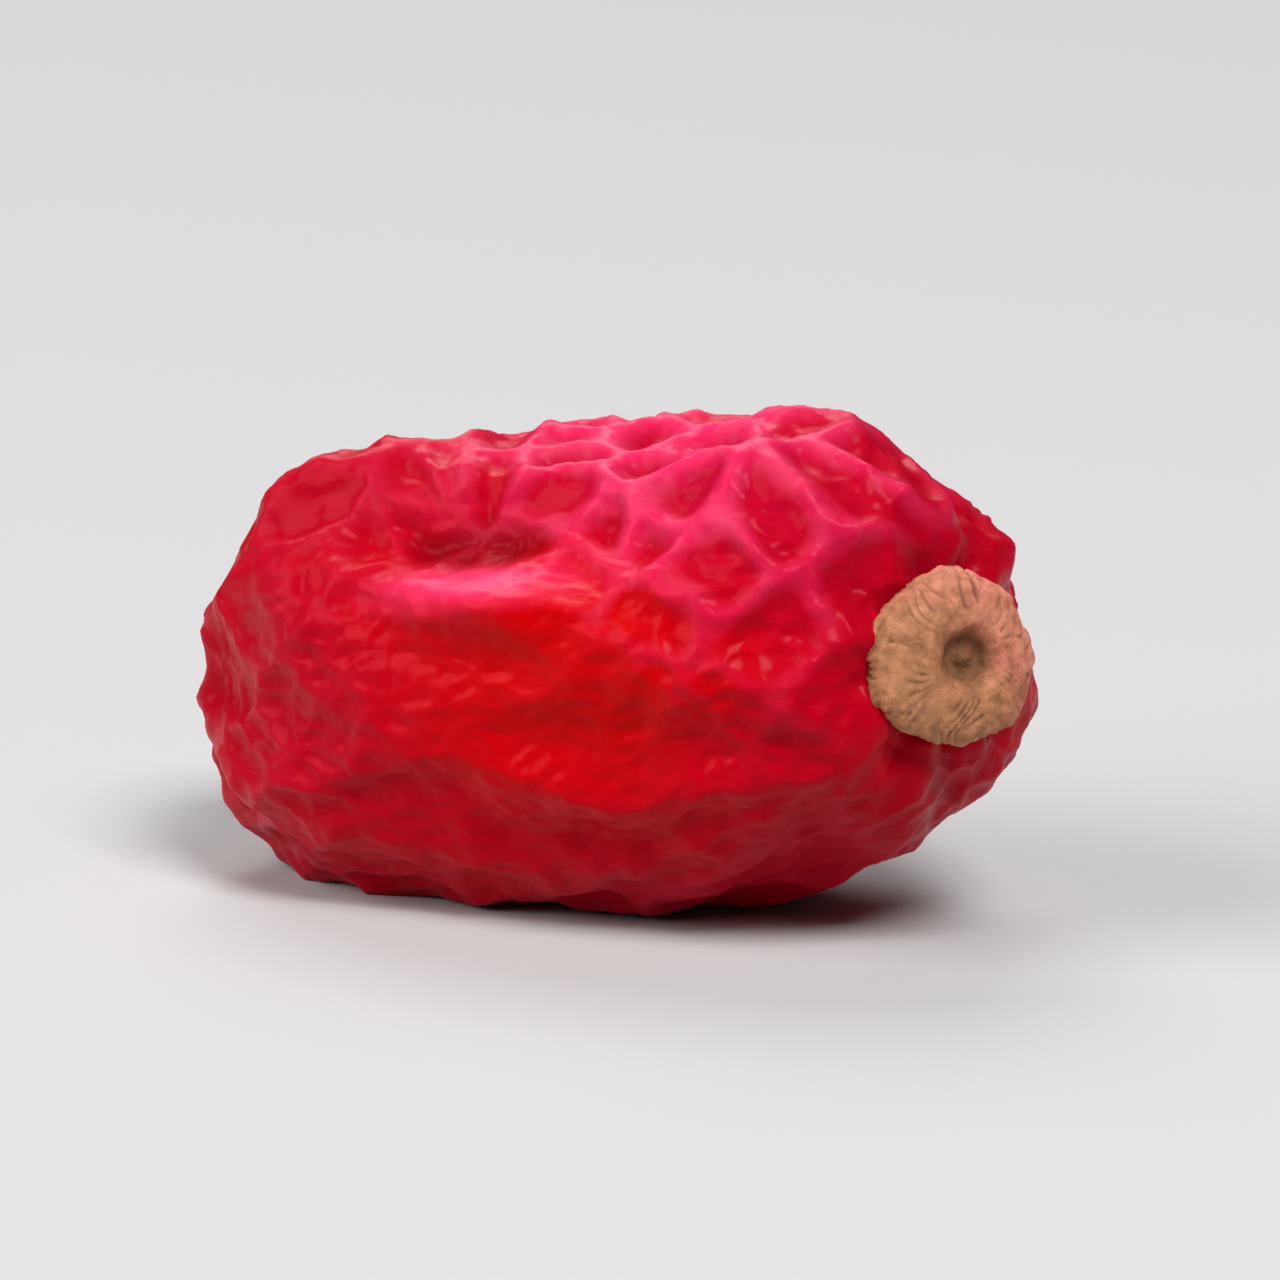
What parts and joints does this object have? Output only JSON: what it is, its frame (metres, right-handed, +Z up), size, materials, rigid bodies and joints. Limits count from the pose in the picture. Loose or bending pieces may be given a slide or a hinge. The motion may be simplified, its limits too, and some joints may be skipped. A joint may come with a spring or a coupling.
{
  "type": "dried barberry",
  "caption": "Whole dried barberry lying on its side, an oblong shrivelled fruit with a raised net of wrinkles, a pitted stigma disc at its tip and a stalk stub in a dimple at its base.",
  "frame": {"origin": "middle of the bounding box's foot, on the surface that the berry lies on", "axes": "+X along the berry from its stalk end to its tip, +Z up"},
  "size_m": [0.0102, 0.0058, 0.0057],
  "materials": {
    "berry_skin": "satin, deep red, semi-translucent, with pinker crests",
    "stigma_cork": "matt tan cork",
    "stalk_wood": "matt pale dry fibres"
  },
  "bodies": {
    "root": {"berry": "berry_skin", "stigma_disc": "stigma_cork", "stalk_stub": "stalk_wood"}
  },
  "joints": []
}
